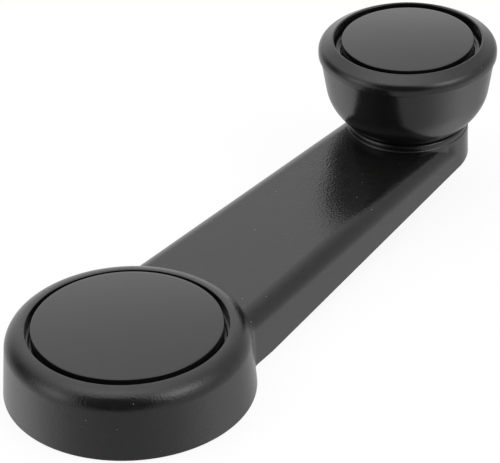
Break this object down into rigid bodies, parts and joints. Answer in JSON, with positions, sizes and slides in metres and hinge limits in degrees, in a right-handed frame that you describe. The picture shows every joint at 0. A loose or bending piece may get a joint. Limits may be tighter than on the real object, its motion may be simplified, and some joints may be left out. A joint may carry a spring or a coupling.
{
  "type": "car window winder handle",
  "caption": "Moulded crank handle with a round hub over a splined socket, a tapering arm and a round knob that spins on a riveted pin; a snap-in cap covers the fixing screw.",
  "frame": {"origin": "on the spindle axis, in the plane of the hub's seat on the door", "axes": "+Z away from the door along the spindle axis, +X along the arm towards the knob"},
  "size_m": [0.1232, 0.0434, 0.0291],
  "materials": {
    "grained_plastic": "satin black moulded plastic with a fine grain",
    "smooth_plastic": "smooth satin black plastic",
    "bearing_plastic": "natural off-white acetal",
    "plated_steel": "zinc-plated steel",
    "spring_steel": "dark oiled spring steel"
  },
  "bodies": {
    "crank": {"crank_arm": "grained_plastic", "spline_insert": "plated_steel", "screw_washer": "spring_steel", "retaining_screw": "plated_steel", "pin_tail_washer": "plated_steel", "knob_pin": "plated_steel", "thrust_washer": "bearing_plastic", "wave_washer": "spring_steel"},
    "knob": {"knob_body": "grained_plastic", "knob_bush": "bearing_plastic", "knob_cap": "smooth_plastic"},
    "cap": {"hub_cap": "smooth_plastic"}
  },
  "joints": [
    {"name": "knob_spin", "type": "hinge", "parent": "crank", "child": "knob", "pos_m": [0.085, 0, 0], "axis": [0, 0, 1], "continuous": true},
    {"name": "hub_cap_pull", "type": "slide", "parent": "crank", "child": "cap", "axis": [0, 0, 1], "range_m": [0, 0.02]}
  ]
}
